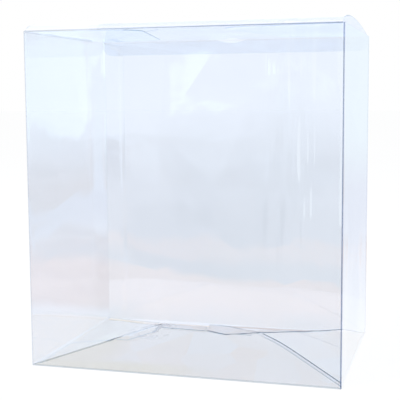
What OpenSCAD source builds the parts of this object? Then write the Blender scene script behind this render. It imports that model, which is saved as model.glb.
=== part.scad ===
// Clear folding box for keeping a packed toy figure from dust and knocks.
// One creased sheet of clear film: four walls, a self-locking bottom that
// springs up into a low roof, two dust flaps and a lid that tucks in behind.
// X runs to the right, Y towards the back wall, Z up. The origin is the
// middle of the footprint, on the surface that the box stands on.

/* [Box] */
// Width across the front, outside
box_w = 220; // [210:1:320]
// Depth from front to back, outside
box_d = 150; // [110:1:158]
// Height of the walls
box_h = 235; // [120:1:340]
// Outer radius of the four upright creases
crease_r = 0.9; // [0.8:0.1:2]

/* [Film] */
// Thickness of the clear film
film = 0.45; // [0.3:0.05:0.6]
// Clearance between layers of film that lie free of each other
layer_gap = 0.35; // [0.3:0.05:0.6]

/* [Glue seam] */
// Width of the glued strip down the inside of the back wall
seam_w = 17; // [10:1:30]
// Length of the slanted cut at each end of the glued strip
seam_slant = 5; // [2:1:12]
// Distance of the glued strip from the top and bottom edges
seam_inset = 2.5; // [1:0.5:8]

/* [Lid] */
// Height that the closed lid arches above the walls
lid_bow = 7; // [3:0.5:9]
// Depth of the flap that tucks in behind the back wall
tuck_len = 11; // [8:0.5:20]
// Lean of the tuck flap away from the back wall, in degrees
tuck_lean = 7; // [5:0.5:12]
// Radius of the tuck flap's lower corners
tuck_corner = 6; // [2:0.5:7]
// Bend radius where the lid turns down into the tuck flap
tuck_bend = 1.2; // [0.9:0.1:2]
// Radius of the folded bead that the lid turns on
bead_r = 0.4; // [0.35:0.05:0.6]

/* [Thumb cut] */
// Width of the shallow thumb cut in the back wall's top edge
thumb_w = 24; // [14:1:36]
// Depth of the thumb cut
thumb_depth = 2.5; // [1.5:0.5:6]

/* [Dust flaps] */
// Reach of each dust flap from its side wall, at the front
dust_reach = 84; // [45:1:84]
// Reach of each dust flap at its rear corner
dust_rear_reach = 60; // [30:1:75]
// Distance from the front wall to a dust flap's front edge
dust_front_gap = 3; // [1.5:0.5:8]
// Distance from the back wall to the rear end of a dust flap's crease
dust_rear_gap = 7; // [6:0.5:15]
// How far the free rear corner lies in front of the crease's rear end
dust_rear_cut = 24; // [8:1:40]
// Corner radius of the dust flaps
dust_corner = 14; // [4:1:20]
// Droop of the dust flaps below level, in degrees
dust_droop = 0.5; // [0.5:0.5:5]

/* [Locking bottom] */
// Height of the ridge where the bottom panels meet
ridge_h = 17; // [12:1:30]
// Reach past the ridge of the lap that lies on the facing panel, at its free end
lap_end = 8.5; // [5:0.5:10]
// Reach of the same lap at the lock's slit, in the middle of the ridge
lap_slit = 9.5; // [6:0.5:12]
// Reach past the ridge of the tongue under the facing panel, at the slit
tongue_slit = 7; // [5:0.5:9]
// Reach of the tongue at its tip
tongue_reach = 10.5; // [9:0.5:14]
// Distance of the tongue's tip from the slit
tongue_tip = 16; // [8:1:18]
// Reach of the tongue at the panel's glued end
tongue_end = 4; // [2.5:0.5:8]
// Lap of each long panel's free end over the side panel
end_lap = 6; // [4:0.5:10]
// Depth of the glued corner tab along the side wall
tab_depth = 62; // [20:1:62]
// Distance from the ridge to the glued corner tab
tab_stop = 30; // [15:1:40]
// Distance from the side wall to the glued tab
tab_inset = 4; // [2.5:0.5:10]
// Width of the side panel's tip that is glued onto the long panel
tip_w = 12; // [5:0.5:14]
// Length of the glued tip, down from the ridge
tip_len = 28; // [16:1:40]

/* [Hidden] */
$fn = 48;

half_w = box_w / 2;
half_d = box_d / 2;
// Flaps start in the middle of the wall's thickness, so that they are one with it
root = film / 2;

// The lid's axis lies in the front wall's top edge, the bead flush with the outside
hinge_y = -half_d + bead_r;
hinge_z = box_h;
lid_half_w = half_w - crease_r - layer_gap;
// The lid turns down just inside the glued strip, which lies against the back wall
fold_y = half_d - 2 * film - layer_gap - film / 2;
bow_steps = 40;

// Slope of the four bottom panels, and the plan distances by which a lower
// panel stops short where one or two layers of film pass over it
rise = atan(ridge_h / half_d);
free_clear = (layer_gap + film) / tan(rise);
tip_clear = (layer_gap + 2 * film) / (2 * tan(rise));
// Distance before or past the ridge at which a long panel bends down, to lie
// along the facing panel
lock_clear = (layer_gap + film) / (2 * sin(rise));
arc_steps = 8;
// Half the length of the ridge
ridge_end = half_w - half_d;
// Width of the slit where the two long panels cross
slit = layer_gap;

// Round the corner at b, between a and c, with an arc of radius r
function fillet(a, b, c, r) =
    let (u = (a - b) / norm(a - b),
         w = (c - b) / norm(c - b),
         half = acos(u * w) / 2,
         centre = b + (u + w) / norm(u + w) * r / sin(half),
         from = b + u * r / tan(half) - centre,
         to = b + w * r / tan(half) - centre,
         sweep = 180 - 2 * half)
    [for (i = [0 : arc_steps])
        centre + (sin(sweep * (1 - i / arc_steps)) * from
                  + sin(sweep * i / arc_steps) * to) / sin(sweep)];

// An outline given as [x, y, corner radius], with its corners rounded
function rounded(outline) =
    let (n = len(outline), xy = [for (p = outline) [p[0], p[1]]])
    [for (i = [0 : n - 1])
        each outline[i][2] > 0
            ? fillet(xy[(i + n - 1) % n], xy[i], xy[(i + 1) % n], outline[i][2])
            : [xy[i]]];

// Height of the lid's arch at a share t of the way back: steep at the front
// crease, highest a third of the way back, then falling gently to the rear
function arch(t) = lid_bow * sqrt(t) * (1 - t) * sqrt(27) / 2;

function side_of(line, i, shift) =
    let (a = line[max(i - 1, 0)],
         b = line[min(i + 1, len(line) - 1)],
         along = (b - a) / norm(b - a))
    line[i] + shift * [-along[1], along[0]];

// The closed outline of a film that follows a line
function film_along(line) =
    concat([for (i = [0 : len(line) - 1]) side_of(line, i, film / 2)],
           [for (i = [len(line) - 1 : -1 : 0]) side_of(line, i, -film / 2)]);

module rounded_tube_plan(w, d, r) {
    for (x = [-1, 1], y = [-1, 1])
        translate([x * (w / 2 - r), y * (d / 2 - r)])
            circle(r);
    square([w, d - 2 * r], center = true);
    square([w - 2 * r, d], center = true);
}

// The four walls, with their upright creases
module walls() {
    difference() {
        linear_extrude(box_h)
            difference() {
                rounded_tube_plan(box_w, box_d, crease_r);
                rounded_tube_plan(box_w - 2 * film, box_d - 2 * film, crease_r - film);
            }
        lid_crease_room();
        thumb_cut();
    }
}

// The front wall stops just short of the bead that the lid turns on
module lid_crease_room() {
    room = bead_r + layer_gap;
    translate([-lid_half_w - layer_gap, -half_d - film, box_h - room])
        cube([2 * (lid_half_w + layer_gap), 3 * film, room + film]);
}

module thumb_cut() {
    cut_r = (pow(thumb_w / 2, 2) + pow(thumb_depth, 2)) / (2 * thumb_depth);
    translate([0, half_d + film, box_h - thumb_depth + cut_r])
        rotate([90, 0, 0])
            cylinder(r = cut_r, h = 3 * film, $fn = 96);
}

// The side wall's edge strip, glued flat to the inside of the back wall
module glued_strip() {
    low = seam_inset;
    high = box_h - seam_inset;
    translate([-half_w, half_d - film + root, 0])
        rotate([90, 0, 0])
            linear_extrude(film + root)
                polygon([[root, low], [seam_w, low + seam_slant],
                         [seam_w, high - seam_slant], [root, high]]);
}

// Dust flap of the left side wall, drooping a little towards its free end
module dust_flap() {
    front = -half_d + dust_front_gap;
    back = half_d - dust_rear_gap;
    translate([-half_w, 0, box_h])
        rotate([0, dust_droop, 0])
            translate([0, 0, -film])
                linear_extrude(film)
                    polygon(rounded([
                        [root, front, 0],
                        [dust_reach, front, dust_corner],
                        [dust_rear_reach, back - dust_rear_cut, dust_corner],
                        [root, back, 0]]));
}

// A bottom panel's outline is drawn in plan, as distances from the middle of
// the box and from its own wall, and is stretched to lie on the sloping plane
function on_slope(outline) = [for (p = outline) [p[0], p[1] / cos(rise)]];

module sloping_panel(distance, outline, low = 0, high = film) {
    translate([0, -distance, 0])
        rotate([rise, 0, 0])
            translate([0, 0, low])
                linear_extrude(high - low)
                    polygon(on_slope(outline));
}

// Long panel of the locking bottom. Its left end is creased to the side panel
// along the corner's diagonal and its right end lies free over the other side
// panel. Right of the slit in the middle it passes over the ridge, and left of
// the slit it bends down just before the ridge
module long_panel() {
    under = half_d - lock_clear;
    over = half_d + lock_clear;
    free_end = half_w - 4 * film;
    sloping_panel(half_d, rounded([
        [-half_w + film, root, 0],
        [free_end, root, 0],
        [free_end, half_w + end_lap - free_end, 1.5],
        [half_w + end_lap - over, over + root, 1.5],
        [slit / 2, over + root, 0],
        [slit / 2, under + root, 0],
        [-ridge_end - lock_clear, under + root, 0],
        [-half_w + film, film + root, 0]]));
    lap_over();
    tongue_under();
}

// Lays an outline drawn for this panel, as distances from the middle and past
// the ridge, along the facing panel
module along_facing_panel(outline, low) {
    rotate([0, 0, 180])
        sloping_panel(half_d, rounded([
            for (p = outline) [-p[0], half_d - p[1], p[2]]]), low, low + film);
}

// The long panel's lap, which lies on the facing panel right of the slit
module lap_over() {
    along_facing_panel([
        [slit / 2, lock_clear - root, 0],
        [slit / 2, lap_slit, 1],
        [ridge_end, lap_end, 3],
        [ridge_end, lock_clear - root, 0]], film + layer_gap);
}

// The long panel's tongue, tucked in under the facing panel left of the slit
module tongue_under() {
    along_facing_panel([
        [-slit / 2, -lock_clear - root, 0],
        [-slit / 2, tongue_slit, 1],
        [-tongue_tip, tongue_reach, 3],
        [-ridge_end + lock_clear, tongue_end, 2],
        [-ridge_end - lock_clear, -lock_clear - root, 0]], -film - layer_gap);
}

// Turns a panel drawn for the front wall so that it stands at the left wall
module at_side_wall() {
    rotate([0, 0, -90])
        children();
}

// Side panel, creased to the long panel on its right hand and free on its left
module side_panel() {
    tip = half_d - (free_clear - root) / 2;
    at_side_wall()
        sloping_panel(half_w, [
            [-half_d + film + free_clear, root],
            [half_d - film, root],
            [half_d - film, film + root],
            [half_d - tip + root, tip],
            [-half_d + film + free_clear, film]]);
}

// Corner tab of the long panel, folded under the side panel and glued there
module corner_tab() {
    tab_end = half_d - tab_stop;
    at_side_wall()
        sloping_panel(half_w, rounded([
            [half_d - tab_inset, tab_inset, 0],
            [half_d - tab_end, tab_end, 0],
            [half_d - tab_depth, tab_inset, 3]]), -film, root);
}

// Tip of the side panel, lapped over the glued crease onto the long panel
module side_tip() {
    high = half_d - tip_clear;
    low = high - tip_len;
    sloping_panel(half_d, rounded([
        [low - half_w, low, 0],
        [low - half_w + tip_w, low, 3],
        [high - half_w, high - tip_w, 2],
        [high - half_w, high, 0]]), root, 2 * film);
}

// A long panel and the side panel that is glued to its left end
module half_bottom() {
    long_panel();
    side_panel();
    corner_tab();
    side_tip();
}

module box_body() {
    color([0.86, 0.90, 0.96, 0.35]) {
        walls();
        glued_strip();
        dust_flap();
        mirror([1, 0, 0])
            dust_flap();
        half_bottom();
        rotate([0, 0, 180])
            half_bottom();
    }
}

// The lid's line from the crease, over its arch and down into the tuck flap
function lid_line() =
    let (panel = [for (i = [0 : bow_steps - 1])
                     [hinge_y + (fold_y - hinge_y) * i / bow_steps,
                      hinge_z + arch(i / bow_steps)]],
         corner = [fold_y, hinge_z],
         tip = corner - tuck_len * [sin(tuck_lean), cos(tuck_lean)],
         bend = fillet(panel[bow_steps - 1], corner, tip, tuck_bend))
    concat(panel, bend, [tip]);

module lid_sheet() {
    rotate([90, 0, 90])
        translate([0, 0, -lid_half_w])
            linear_extrude(2 * lid_half_w)
                polygon(film_along(lid_line()));
}

// Rounds one lower corner of the tuck flap, at the lid's left end
module tuck_corner_cut() {
    low = hinge_z - tuck_len;
    translate([-lid_half_w, fold_y + 2 * film, low])
        rotate([90, 0, 0])
            linear_extrude(tuck_len)
                difference() {
                    translate([-film, -film])
                        square(tuck_corner + film);
                    translate([tuck_corner, tuck_corner])
                        circle(tuck_corner);
                }
}

module lid() {
    color([0.86, 0.90, 0.96, 0.35]) {
        difference() {
            lid_sheet();
            tuck_corner_cut();
            mirror([1, 0, 0])
                tuck_corner_cut();
        }
        translate([-lid_half_w, hinge_y, hinge_z])
            rotate([0, 90, 0])
                cylinder(r = bead_r, h = 2 * lid_half_w, $fn = 24);
    }
}

box_body();
lid();
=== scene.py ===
import math

import bmesh
import bpy
from mathutils import Matrix, Vector, noise
from mathutils.bvhtree import BVHTree


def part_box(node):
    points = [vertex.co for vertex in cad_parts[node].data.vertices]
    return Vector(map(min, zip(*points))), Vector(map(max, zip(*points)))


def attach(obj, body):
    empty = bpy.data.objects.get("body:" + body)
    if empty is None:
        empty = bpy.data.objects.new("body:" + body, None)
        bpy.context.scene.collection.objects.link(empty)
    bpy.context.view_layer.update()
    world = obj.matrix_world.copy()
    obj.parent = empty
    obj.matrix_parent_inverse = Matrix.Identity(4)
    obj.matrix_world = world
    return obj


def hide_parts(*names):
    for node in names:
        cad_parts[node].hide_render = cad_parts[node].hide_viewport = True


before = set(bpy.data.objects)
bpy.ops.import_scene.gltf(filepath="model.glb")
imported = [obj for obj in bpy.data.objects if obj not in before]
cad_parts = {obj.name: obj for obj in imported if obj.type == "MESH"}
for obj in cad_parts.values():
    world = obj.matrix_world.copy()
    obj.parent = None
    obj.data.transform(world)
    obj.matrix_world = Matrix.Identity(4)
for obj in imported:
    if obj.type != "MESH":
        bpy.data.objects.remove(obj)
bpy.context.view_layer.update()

# The camera stands a little to the right of the box and looks slightly down on it. A line of
# sight passes through many layers of film.
eye = Vector((0.1846, -0.6661, 0.1890))
turned, looking_down, roll = (math.radians(angle) for angle in (15.97, 6.27, -0.39))
camera = bpy.data.objects.new("camera", bpy.data.cameras.new("camera"))
camera.data.sensor_width = 36.0
camera.data.lens = 84.06
camera.data.clip_start = 0.01
camera.matrix_world = (
    Matrix.Translation(eye)
    @ Matrix.Rotation(turned, 4, "Z")
    @ Matrix.Rotation(math.pi / 2 - looking_down, 4, "X")
    @ Matrix.Rotation(roll, 4, "Z")
)
bpy.context.scene.collection.objects.link(camera)
scene = bpy.context.scene
scene.camera = camera
scene.view_settings.view_transform = "Standard"
scene.cycles.transparent_max_bounces = 48


# The floor and the backdrop are one pale surface that reads as white, and the floor
# still shows the box's faint shadow.

class Signal:
    """A socket of a material's node tree. Arithmetic on it adds Math nodes."""

    def __init__(self, tree, socket=None):
        self.tree = tree
        self.socket = socket

    def node(self, kind, settings=None, inputs=None, output=0):
        made = self.tree.nodes.new(kind)
        for name, value in (settings or {}).items():
            setattr(made, name, value)
        for name, value in (inputs or {}).items():
            if isinstance(value, Signal):
                self.tree.links.new(value.socket, made.inputs[name])
            else:
                made.inputs[name].default_value = value
        return Signal(self.tree, made.outputs[output] if made.outputs else None)

    def maths(self, operation, first, second):
        return self.node("ShaderNodeMath", {"operation": operation}, {0: first, 1: second})

    def __add__(self, other):
        return self.maths("ADD", self, other)

    __radd__ = __add__

    def __sub__(self, other):
        return self.maths("SUBTRACT", self, other)

    def __rsub__(self, other):
        return self.maths("SUBTRACT", other, self)

    def __mul__(self, other):
        return self.maths("MULTIPLY", self, other)

    __rmul__ = __mul__

    def __truediv__(self, other):
        return self.maths("DIVIDE", self, other)

    def __abs__(self):
        return self.maths("ABSOLUTE", self, 0.0)

    def above(self, low, high):
        """0 below low, 1 above high, and a smooth step from one to the other."""
        return self.node(
            "ShaderNodeMapRange",
            {"interpolation_type": "SMOOTHSTEP"},
            {"Value": self, "From Min": low, "From Max": high},
        )

    def below(self, low, high):
        """1 below low, 0 above high, and a smooth step from one to the other."""
        return 1.0 - self.above(low, high)

    def mix_colours(self, none, full):
        """The first colour where this is 0, and the second where it is 1."""
        return self.node("ShaderNodeMix", {"data_type": "RGBA"},
                         {0: self, 6: none, 7: full}, output=2)

    def mix_shaders(self, none, full):
        """The first shader where this is 0, and the second where it is 1."""
        return self.node("ShaderNodeMixShader", inputs={0: self, 1: none, 2: full})

    def on_object(self):
        return self.node("ShaderNodeTexCoord", output="Object")

    def axes(self):
        """The three coordinates of these points."""
        return [self.node("ShaderNodeSeparateXYZ", inputs={0: self}, output=axis) for axis in "XYZ"]

    def clouds(self, scale, detail):
        """Noise over these points."""
        return self.node("ShaderNodeTexNoise",
                         inputs={"Vector": self, "Scale": scale, "Detail": detail})


def new_material(name):
    made = bpy.data.materials.new(name)
    made.use_nodes = True
    made.node_tree.nodes.clear()
    return made, Signal(made.node_tree)


def looking(tree):
    """Above 0 for the camera's own rays and for those by way of a mirror or through film."""
    return (tree.node("ShaderNodeLightPath", output="Is Camera Ray")
            + tree.node("ShaderNodeLightPath", output="Is Glossy Ray")
            + tree.node("ShaderNodeLightPath", output="Is Transmission Ray"))


pure_white = (1.0, 1.0, 1.0, 1.0)
floor_mesh = bmesh.new()
bmesh.ops.create_grid(floor_mesh, x_segments=1, y_segments=1, size=12.0)
floor = bpy.data.objects.new("floor", bpy.data.meshes.new("floor"))
floor_mesh.to_mesh(floor.data)
floor_mesh.free()
scene.collection.objects.link(floor)
floor_white, tree = new_material("floor_white")
lit = tree.node("ShaderNodeBsdfDiffuse", inputs={"Color": (0.9, 0.9, 0.9, 1.0)})
plain = tree.node("ShaderNodeEmission", inputs={"Color": pure_white, "Strength": 1.07})
plain_share = 0.8
tree.node("ShaderNodeOutputMaterial",
          inputs={"Surface": (looking(tree) * plain_share).mix_shaders(lit, plain)})
floor.data.materials.append(floor_white)

# Soft, slightly blue light comes from all sides, and reads as white where it is looked at.
# One large lamp stands high on the left, and the film doesn't mirror it.
world = bpy.data.worlds.new("studio")
world.use_nodes = True
world.node_tree.nodes.clear()
scene.world = world
tree = Signal(world.node_tree)
ambient = tree.node("ShaderNodeBackground",
                    inputs={"Color": (0.95, 0.97, 1.0, 1.0), "Strength": 0.75})
white = tree.node("ShaderNodeBackground", inputs={"Color": pure_white, "Strength": 1.0})
backdrop = tree.maths("MINIMUM", looking(tree), 1.0).mix_shaders(ambient, white)
tree.node("ShaderNodeOutputWorld", inputs={"Surface": backdrop})

lit_point = Vector((0, 0, 0.1))
key = bpy.data.objects.new("key_light", bpy.data.lights.new("key_light", "AREA"))
key.data.shape = "RECTANGLE"
key.data.size, key.data.size_y = 1.2, 1.2
key.data.energy = 12.0
key.location = (-0.9, -0.7, 1.6)
key.rotation_euler = (lit_point - key.location).to_track_quat("-Z", "Y").to_euler()
key.visible_glossy = False
scene.collection.objects.link(key)


# What the film mirrors in front of the box: the studio's far wall, pale blue above and grey
# below, with a few bright ragged patches of light. Only reflections see it.

def mirrored_card(name, quads, material):
    """Flat cards in one piece, which only reflections see."""
    shape = bmesh.new()
    for quad in quads:
        shape.faces.new([shape.verts.new(corner) for corner in quad])
    made = bpy.data.objects.new(name, bpy.data.meshes.new(name))
    shape.to_mesh(made.data)
    shape.free()
    scene.collection.objects.link(made)
    for ray in ("camera", "diffuse", "shadow", "transmission", "volume_scatter"):
        setattr(made, "visible_" + ray, False)
    made.data.materials.append(material)
    return made


def glow_with(tree, tone, strength=1.0):
    """Ends a card's material: the card gives off this tone."""
    glow = tree.node("ShaderNodeEmission", inputs={"Color": tone, "Strength": strength})
    tree.node("ShaderNodeOutputMaterial", inputs={"Surface": glow})


wall_grey, wall_blue = (0.28, 0.28, 0.31, 1.0), (1.05, 1.12, 1.22, 1.0)
patch_white = (1.9, 2.3, 2.4, 1.0)
# The middle, the half width and half height, and the strength of each patch
light_patches = ((-0.440, 0.187, 0.050, 0.024, 0.8), (-0.355, 0.275, 0.028, 0.016, 0.35),
                 (-0.265, 0.220, 0.024, 0.060, 0.3), (-0.155, 0.224, 0.036, 0.060, 0.3))
studio_grey, tree = new_material("studio_grey")
spot = tree.on_object()
across, _, height = spot.axes()
blue_share = (height + 0.16 * (spot.clouds(10.0, 4.0) - 0.5)).above(-0.05, 0.17)
tone = blue_share.mix_colours(wall_grey, wall_blue)
ragged = 5.0 * (spot.clouds(38.0, 4.0) - 0.5)
for x, z, half_wide, half_high, share in light_patches:
    aside, up = (across - x) * (1.0 / half_wide), (height - z) * (1.0 / half_high)
    patch = (aside * aside + up * up + ragged).below(0.7, 1.1)
    tone = (patch * share).mix_colours(tone, patch_white)
glow_with(tree, tone)
wall_y, wall_side, wall_high = -1.6, 4.0, 4.0
studio_wall = mirrored_card("studio_wall", [
    ((-wall_side, wall_y, 0.0), (wall_side, wall_y, 0.0),
     (wall_side, wall_y, wall_high), (-wall_side, wall_y, wall_high))], studio_grey)

# The ground between that wall and the box: a dark shape with a curved, uneven edge, a warm
# strip along it, and the ground's own tones nearer to the box and far away.
shape_dark, shape_grey = (0.08, 0.08, 0.10, 1.0), (0.46, 0.44, 0.46, 1.0)
ground_grey, strip_warm = (0.46, 0.42, 0.42, 1.0), (1.18, 0.58, 0.28, 1.0)
near_brown, far_blue = (0.34, 0.26, 0.18, 1.0), (0.72, 0.76, 0.86, 1.0)
# The dark shape's outline is laid out by bearings from this point, behind the box
bearing_x, bearing_y = 0.1846, 0.516
ground_tones, tree = new_material("ground_tones")
spot = tree.on_object()
across, along, _ = spot.axes()
uneven = 0.03 * (spot.clouds(9.0, 3.0) - 0.5)
bearing = (across - bearing_x) / (bearing_y - along)
from_left = (bearing + uneven).below(-0.38, -0.31)
dark = ((along + 0.22 * from_left + uneven).below(-0.42, -0.37)
        * (bearing + uneven).above(-0.39, -0.37))
core = (bearing + 2.0 * uneven).above(-0.29, -0.21).mix_colours(shape_dark, shape_grey)
pale = along.above(-0.52, -0.42).mix_colours(ground_grey, strip_warm)
pale = (along + 2.0 * uneven).above(-0.30, -0.20).mix_colours(pale, near_brown)
tone = dark.mix_colours(pale, core)
far = (along + 10.0 * uneven).below(-1.5, -0.9) * 0.6
glow_with(tree, far.mix_colours(tone, far_blue))
front_edge, ground_z = -0.0755, 0.0005
studio_ground = mirrored_card("studio_ground", [
    ((-wall_side, wall_y, ground_z), (wall_side, wall_y, ground_z),
     (wall_side, front_edge, ground_z), (-wall_side, front_edge, ground_z))], ground_tones)

# Behind the box, what its side walls, its lid and its bottom mirror: a pale wall with a window,
# whose bright leaf shape shows in the left wall, the ground before it with a warm grey part,
# and the bright surface under the box.
beside_low, beside_high = (0.80, 0.84, 0.95, 1.0), (0.87, 0.96, 1.02, 1.0)
middle_low, middle_high = (0.68, 0.56, 0.50, 1.0), (0.95, 0.99, 1.05, 1.0)
left_white, window_white = (1.12, 1.14, 1.18, 1.0), (1.35, 1.5, 1.5, 1.0)
warm_grey, warm_pale = (0.66, 0.60, 0.61, 1.0), (0.82, 0.74, 0.72, 1.0)
under_box = (1.55, 1.35, 1.2, 1.0)
rear_tones, tree = new_material("rear_tones")
spot = tree.on_object()
across, along, height = spot.axes()
upper = height.above(-0.02, 0.12)
beside = upper.mix_colours(beside_low, beside_high)
middle = upper.mix_colours(middle_low, middle_high)
pale = across.above(0.27, 0.36).mix_colours(beside, middle)
pale = across.above(0.05, 0.20).mix_colours(left_white, pale)
window_across = (across - 0.455) * 8.4
window_up = (height - 0.250) * 6.5
window = (window_across * window_across + window_up * window_up).below(0.85, 1.05)
tone = window.mix_colours(pale, window_white)
# The right wall mirrors a narrow band of the ground, and the left wall the rest of it
beside_band = abs(across - 0.118 * along - 0.108).above(0.006, 0.035)
warm_ground = (along.above(0.08, 0.12) * along.below(0.50, 0.68)
               * across.above(-0.16, -0.11) * beside_band)
warm = spot.clouds(9.0, 2.0).above(0.4, 0.6).mix_colours(warm_grey, warm_pale)
tone = warm_ground.mix_colours(tone, warm)
glow_with(tree, along.above(0.075, 0.076).mix_colours(under_box, tone))
rear_y, rear_side, rear_high, back_edge = 1.2, 3.0, 2.4, 0.0765
under_x, under_y, under_z = 0.109, 0.074, 0.0002
studio_rear = mirrored_card("studio_rear", [
    ((-rear_side, rear_y, 0.0), (rear_side, rear_y, 0.0),
     (rear_side, rear_y, rear_high), (-rear_side, rear_y, rear_high)),
    ((-rear_side, back_edge, ground_z), (-rear_side, rear_y, ground_z),
     (rear_side, rear_y, ground_z), (rear_side, back_edge, ground_z)),
    ((-under_x, -under_y, under_z), (-under_x, under_y, under_z),
     (under_x, under_y, under_z), (under_x, -under_y, under_z))], rear_tones)

# A tall lamp in front of the box and a little to the right. It only shows where the film's
# wrinkles catch it.
lamp_left, lamp_right, lamp_y, lamp_high = 0.01, 0.30, -1.0, 1.2
lamp_white, tree = new_material("lamp_white")
glow_with(tree, (0.95, 1.0, 1.0, 1.0), 1.4)
tall_lamp = mirrored_card("tall_lamp", [
    ((lamp_left, lamp_y, 0.0), (lamp_right, lamp_y, 0.0),
     (lamp_right, lamp_y, lamp_high), (lamp_left, lamp_y, lamp_high))], lamp_white)

# The folded sheet: clear polyester film, die-cut, creased and glued. Its panels keep the
# frame's shape, and between the creases they hollow a little, as thin film does.
film = 0.00045
film_index = 1.57
_, box_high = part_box("box_body")
half_w, half_d, wall_top = box_high.x, box_high.y, box_high.z
# The bottom panels lie below these heights: the first for the warm tint painted on them as a
# reflection, the second for their edges and creases
warm_tint_below, bottom_below = 0.018, 0.02
# The middle of the glued tip's white haze, which paints glints there
glue_glint_spot = (-0.043, -0.008, 0.015)


def mirror_share(tree, normal):
    """The share of light that a layer of film mirrors. The face toward the viewer has all of it."""
    once = tree.node("ShaderNodeFresnel", inputs={"IOR": film_index, "Normal": normal})
    away = tree.node("ShaderNodeNewGeometry", output="Backfacing")
    return (2.0 * once) / (once + 1.0) * (1.0 - away)


def see_through(tree, tint):
    return tree.node("ShaderNodeBsdfTransparent", inputs={"Color": tint})


def clear_film(name, tint, cloudy_tint):
    """Clear film: it lets a tinted view through, mirrors at a glancing angle, and is uneven."""
    made, tree = new_material(name)
    spot = tree.on_object()
    across, along, up = spot.axes()
    # Upright wrinkles near the front wall's right end
    upright = tree.node("ShaderNodeCombineXYZ", inputs={0: across, 1: along, 2: 0.08 * up})
    wrinkled = (across.above(0.05, 0.075) * across.below(0.08, 0.10)
                * up.above(0.05, 0.12) * along.below(-0.06, -0.05))
    dents = tree.node("ShaderNodeTexVoronoi", inputs={"Vector": spot, "Scale": 13.0})
    normal = tree.node("ShaderNodeBump", inputs={
        "Strength": 1.0, "Distance": 0.001,
        "Height": (spot.clouds(9.0, 2.0) + 0.12 * spot.clouds(45.0, 1.0) + 0.8 * dents
                   + wrinkled * upright.clouds(160.0, 1.0))})
    view = spot.clouds(7.0, 3.0).above(0.35, 0.65).mix_shaders(
        see_through(tree, tint), see_through(tree, cloudy_tint))
    # Painted reflection: a warm, patchy tone on the bottom panels, and more so at the front and the
    # left, stands in for the warm surroundings they mirror
    bottom = (up.below(warm_tint_below - 0.0002, warm_tint_below + 0.0002)
              * abs(across).below(0.1085, 0.109) * abs(along).below(0.0735, 0.074))
    warm_patches = tree.node("ShaderNodeTexVoronoi", inputs={"Vector": spot, "Scale": 30.0}, output="Color")
    view = (bottom * (0.35 + 0.65 * warm_patches)).mix_shaders(
        view, see_through(tree, (0.944, 0.925, 0.918, 1.0)))
    front_band = along.below(-0.068, -0.055) * across.below(-0.03, 0.03)
    left_slope = 0.7 * across.below(-0.070, -0.045)
    view = (bottom * tree.maths("MAXIMUM", front_band, left_slope)).mix_shaders(
        view, see_through(tree, (0.93, 0.915, 0.875, 1.0)))
    # The front wall's lowest edge shows as a thin grey line
    foot = up.below(0.0004, 0.0014) * along.below(-0.0745, -0.0740)
    view = foot.mix_shaders(view, see_through(tree, (0.72, 0.76, 0.80, 1.0)))
    # Glue at the tip that is glued near the front left end of the ridge, with painted glints:
    # patches of white haze stand in for the glue and for the glints on it
    from_glue_glint = tree.node("ShaderNodeVectorMath", {"operation": "DISTANCE"},
                          {0: spot, 1: glue_glint_spot}, output="Value")
    glue_and_glint = from_glue_glint.below(0.008, 0.024) * spot.clouds(120.0, 2.0).above(0.52, 0.64)
    haze = tree.node("ShaderNodeBsdfDiffuse",
                     inputs={"Color": (0.86, 0.88, 0.93, 1.0), "Normal": normal})
    view = (0.012 + 0.45 * glue_and_glint).mix_shaders(view, haze)
    # The two layers at the glued strip mirror more
    strip = across.below(-0.0935, -0.0915) * along.above(0.07, 0.073) * up.above(0.10, 0.15)
    share = mirror_share(tree, normal) * (1.0 + 1.2 * strip)
    gloss = tree.node("ShaderNodeBsdfAnisotropic",
                      inputs={"Color": pure_white, "Roughness": 0.04, "Normal": normal})
    tree.node("ShaderNodeOutputMaterial", inputs={"Surface": share.mix_shaders(view, gloss)})
    return made


def crease_strength(across, along, up):
    """The front right crease and the left flap's crease show most, and the back ones hardly."""
    front = along.below(-0.02, 0.02)
    back = 1.0 - front
    right = across.above(-0.11, 0.11)
    flap = (1.0 - right) * back * up.above(0.2335, 0.2345) * 0.6
    low_right = front * right * 0.2 * up.below(0.0, 0.235)
    return 0.2 + flap + back * (0.5 * right - 0.12) + front * (0.15 + 0.45 * right) + low_right


def dark_line(name, tint, strength=None):
    """A crease or a cut edge: the film bends the light away, so it shows as a blue-grey line."""
    made, tree = new_material(name)
    line = see_through(tree, tint)
    if strength:
        clear = see_through(tree, (0.95, 0.97, 0.99, 1.0))
        line = strength(*tree.on_object().axes()).mix_shaders(clear, line)
    gloss = tree.node("ShaderNodeBsdfAnisotropic", inputs={"Color": pure_white, "Roughness": 0.1})
    facing = tree.node("ShaderNodeNewGeometry", output="Normal")
    share = mirror_share(tree, facing) * 0.4
    tree.node("ShaderNodeOutputMaterial", inputs={"Surface": share.mix_shaders(line, gloss)})
    return made


film_clear = clear_film("film_clear", (0.955, 0.971, 0.997, 1.0), (0.94, 0.96, 0.985, 1.0))
film_crease = dark_line("film_crease", (0.50, 0.55, 0.66, 1.0), crease_strength)
film_edge = dark_line("film_edge", (0.26, 0.44, 0.56, 1.0))
film_faint = dark_line("film_faint", (0.81, 0.87, 0.93, 1.0))
film_rim = dark_line("film_rim", (0.58, 0.71, 0.82, 1.0))
film_looks = (film_clear, film_crease, film_edge, film_faint, film_rim)
clear, crease, edge, faint, rim = range(len(film_looks))


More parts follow.
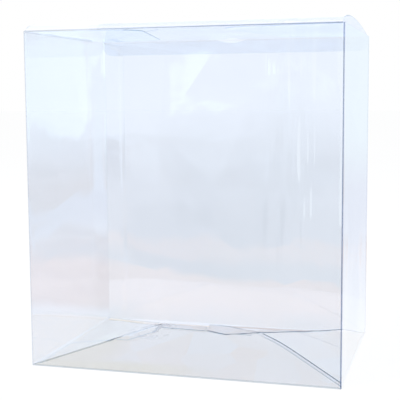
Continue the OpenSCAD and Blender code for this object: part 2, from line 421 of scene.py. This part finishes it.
def sheet_from_frame(node, patch):
    """A closed copy of a frame node, cut into patches so that its panels can hollow."""
    shape = bmesh.new()
    shape.from_mesh(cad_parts[node].data)
    bmesh.ops.remove_doubles(shape, verts=shape.verts, dist=1e-6)
    bmesh.ops.dissolve_limit(shape, angle_limit=math.radians(0.2),
                             verts=shape.verts, edges=shape.edges)
    low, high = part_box(node)
    for axis in range(3):
        cuts = max(1, round((high[axis] - low[axis]) / patch))
        facing = Vector([1.0 if i == axis else 0.0 for i in range(3)])
        for i in range(1, cuts):
            at = low + (high - low) * i / cuts
            everything = shape.verts[:] + shape.edges[:] + shape.faces[:]
            bmesh.ops.bisect_plane(shape, geom=everything, plane_co=at, plane_no=facing, dist=1e-7)
    shape.normal_update()
    return shape


def is_cut_edge(solid, face):
    """A face through which the film is more than a few layers thick is part of its cut edge."""
    just_inside = face.calc_center_median() - face.normal * 1e-6
    far_side, _, _, distance = solid.ray_cast(just_inside, -face.normal, 0.01)
    return far_side is None or distance > 2.6 * film


def finish_sheet(shape, name, body, node):
    mesh = bpy.data.meshes.new(name)
    shape.to_mesh(mesh)
    shape.free()
    for material in film_looks:
        mesh.materials.append(material)
    for face in mesh.polygons:
        face.use_smooth = True
    mesh.set_sharp_from_angle(angle=math.radians(25))
    made = bpy.data.objects.new(name, mesh)
    scene.collection.objects.link(made)
    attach(made, body)
    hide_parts(node)


def cut_edge_look(middle):
    """Most cut edges of the box are dark lines, and a few hardly show."""
    ridge_end = 0.037
    glued_strip = middle.y > half_d - 0.0015 and middle.z > 0.0015
    at_top = middle.z > wall_top - 0.005
    right_flap = middle.x > 0 and at_top
    left_flap_front = middle.y < -half_d + 0.004 and at_top
    at_bottom = middle.z < bottom_below
    rear_right_tab = at_bottom and middle.x > 0.04 and middle.y > -0.005
    ridge = at_bottom and abs(middle.y) < 0.0024 and abs(middle.x) < ridge_end
    left_end = at_bottom and middle.x < -ridge_end
    if glued_strip or right_flap or left_flap_front or rear_right_tab:
        return faint
    if ridge:
        return faint if middle.x > 0.004 else clear
    if left_end:
        return faint if middle.y > 0 else rim
    return edge


sheet = sheet_from_frame("box_body", 0.006)
solid = BVHTree.FromBMesh(sheet)
for face in sheet.faces:
    middle = face.calc_center_median()
    upright = abs(middle.x) > half_w - 0.0009 and abs(middle.y) > half_d - 0.0009
    flap_crease = abs(middle.x) > half_w - 0.0006 and middle.z > wall_top - 0.0001
    standing_edge = middle.z < 0.0002
    if upright or flap_crease:
        face.material_index = crease
    elif not standing_edge and is_cut_edge(solid, face):
        face.material_index = cut_edge_look(middle)


def fade(distance, width):
    """0 at a crease, 1 well away from it."""
    share = min(max(distance / width, 0.0), 1.0)
    return share * share * (3 - 2 * share)


# The sprung bottom isn't flat along its back right crease: low at the ridge's end and high
# near the corner. Each pair is a share of the crease's length and a height.
bow_points = ((-0.15, 0.0), (0.0, -0.0030), (0.41, -0.0012), (0.53, 0.0), (0.80, 0.0019),
              (1.0, 0.0))
bow_width = 0.022


def crease_bow(place):
    """How far a point on the bottom is moved up or down."""
    ridge_end = half_w - half_d
    share = (place.x - ridge_end + place.y) / (2 * half_d)
    if place.z > bottom_below or not bow_points[0][0] < share < bow_points[-1][0]:
        return 0.0
    beside = (place.x - ridge_end - place.y) / math.sqrt(2)
    from_wall = min(half_w - abs(place.x), half_d - abs(place.y))
    for (start, low_bow), (end, high_bow) in zip(bow_points, bow_points[1:]):
        if share <= end:
            bow = low_bow + (high_bow - low_bow) * fade(share - start, end - start)
            return bow * math.exp(-((beside / bow_width) ** 2)) * fade(from_wall, 0.012)


hollow = 0.0012
wall_skin = 0.0012
for vert in sheet.verts:
    place = vert.co.copy()
    from_ends = fade(place.z, 0.05) * fade(wall_top - place.z, 0.05)
    for axis, reach, other, other_reach in ((0, half_w, 1, half_d), (1, half_d, 0, half_w)):
        if abs(place[axis]) > reach - wall_skin:
            from_crease = fade(other_reach - abs(place[other]), 0.04)
            wave = noise.noise(Vector((place[other] * 9, place.z * 7, place[axis] * 40 + 3)))
            inward = hollow * (0.5 + 0.5 * wave) * from_ends * from_crease
            vert.co[axis] -= math.copysign(inward, place[axis])
    vert.co.z += crease_bow(place)
finish_sheet(sheet, "box_sheet", "box", "box_body")

# The lid and its tuck flap: the same film, arched, and joined to the front wall's top by a
# crease. Its cut edges show as lines, and less dark than the box's.
lid_shape = sheet_from_frame("lid", 0.008)
solid = BVHTree.FromBMesh(lid_shape)
hinge = Vector((0, -half_d + 0.0004, wall_top))
hinge_reach = 0.0006
for face in lid_shape.faces:
    middle = face.calc_center_median()
    if (Vector((0, middle.y, middle.z)) - hinge).length < hinge_reach:
        face.material_index = crease
    elif is_cut_edge(solid, face):
        face.material_index = rim
finish_sheet(lid_shape, "lid_sheet", "lid", "lid")


# The crease of the left dust flap, along the left wall's top edge. The bent film throws the
# light away there, so it shows as a dark line.

def add_rod(shape, start, end, radius):
    line = end - start
    made = bmesh.ops.create_cone(shape, cap_ends=True, segments=8, radius1=radius, radius2=radius,
                                 depth=line.length)
    place = (Matrix.Translation((start + end) / 2)
             @ line.to_track_quat("Z", "Y").to_matrix().to_4x4())
    bmesh.ops.transform(shape, matrix=place, verts=made["verts"])


def finish_line(shape, name, material):
    mesh = bpy.data.meshes.new(name)
    shape.to_mesh(mesh)
    shape.free()
    mesh.materials.append(material)
    made = bpy.data.objects.new(name, mesh)
    scene.collection.objects.link(made)
    return made


flap_x, flap_z = -half_w + 0.0006, wall_top - 0.0008
flap_back, flap_front = Vector((flap_x, 0.047, flap_z)), Vector((flap_x, -0.072, flap_z))
flap_shape = bmesh.new()
add_rod(flap_shape, flap_back, flap_front, 0.00014)
flap_line = finish_line(flap_shape, "flap_crease_line", film_crease)
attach(flap_line, "box")

# The bottom's darkest lines: the glued diagonal creases at the front left and back right, the
# front panel's free end, where it rests on the right side panel, and the edge of the lap that
# lies on the front panel, right of the ridge's slit.
ridge_height = 0.017
rise = ridge_height / half_d
crease_wide = 0.0003
on_panel, on_lap = 0.8 * film, 1.4 * film
# Where a diagonal line starts and ends, counted from the walls, and how far the front panel's
# free end lies past the diagonal
corner, top = 0.0012, half_d - 0.0015
end_lap = 0.006
lap_corners = ((0.0014, -0.0079), (0.0164, -0.0123), (0.0269, -0.0089), (0.0340, -0.0013),
               (0.0390, -0.0005))
lap_edge = [Vector((x, y, (half_d + y) * rise + on_lap)) for x, y in lap_corners]
lines = [(start, end, 0.7 * crease_wide) for start, end in zip(lap_edge, lap_edge[1:])]
for side_x, side_y, past in ((-1, -1, 0), (1, 1, 0), (1, -1, end_lap)):
    start = Vector((side_x * (half_w - corner), side_y * (half_d - corner - past),
                    (corner + past) * rise + on_panel))
    end = Vector((side_x * (half_w - top + past), side_y * (half_d - top), top * rise + on_panel))
    if side_x > 0:
        lines.append((start, end, crease_wide))
    else:
        # Thin near the corner and wider toward the ridge
        lines.append((start, end, 0.4 * crease_wide))
        lines.append((start.lerp(end, 0.55), end, 0.85 * crease_wide))
creases = bmesh.new()
for start, end, wide in lines:
    add_rod(creases, start, end, wide)
long_edges = [line for line in creases.edges if line.calc_length() > 0.05]
bmesh.ops.subdivide_edges(creases, edges=long_edges, cuts=15)
for vert in creases.verts:
    vert.co.z += crease_bow(vert.co)
corner_creases = finish_line(creases, "corner_creases", film_edge)
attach(corner_creases, "box")
